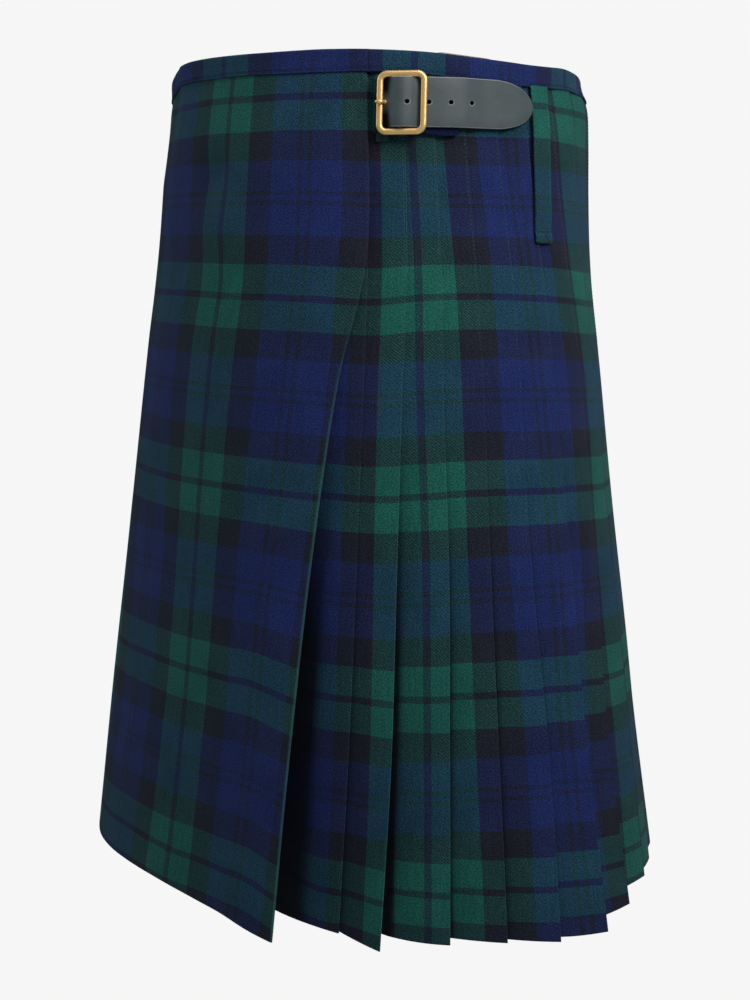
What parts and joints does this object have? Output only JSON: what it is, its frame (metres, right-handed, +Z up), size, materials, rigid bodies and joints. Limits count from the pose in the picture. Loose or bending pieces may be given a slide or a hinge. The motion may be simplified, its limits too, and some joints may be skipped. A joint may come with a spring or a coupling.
{
  "type": "kilt",
  "caption": "Knee-length wrap skirt in checked wool, pleated all round but for two flat front panels, with leather waist straps and brass buckles, held in its worn shape.",
  "frame": {"origin": "centre of the waist at the mid height of the waist straps, where the wearer holds it up", "axes": "+Z up from hem to waist, -Y the way the wearer faces, +X the wearer's left"},
  "size_m": [0.4676, 0.3886, 0.597],
  "materials": {
    "tartan": "wool twill, checked in black, navy and green",
    "waistband": "wool twill, navy and black",
    "lining": "cotton drill, tan",
    "leather": "smooth, slate black",
    "brass": "polished, a little worn"
  },
  "bodies": {
    "root": {"over-apron": "tartan", "under-apron": "tartan", "pleats-left": "tartan", "pleats-back": "tartan", "pleats-right": "tartan", "waistband-front": "waistband", "waistband-back": "waistband", "waistband-under": "waistband", "waist-lining": "lining", "strap-left": "leather", "strap-right": "leather", "buckle-left": "brass", "buckle-right": "brass", "buckle-pin-left": "brass", "buckle-pin-right": "brass", "buckle-tab-left": "waistband", "buckle-tab-right": "waistband", "slit-binding": "tartan", "belt-loop-left": "tartan", "belt-loop-right": "tartan"}
  },
  "joints": []
}
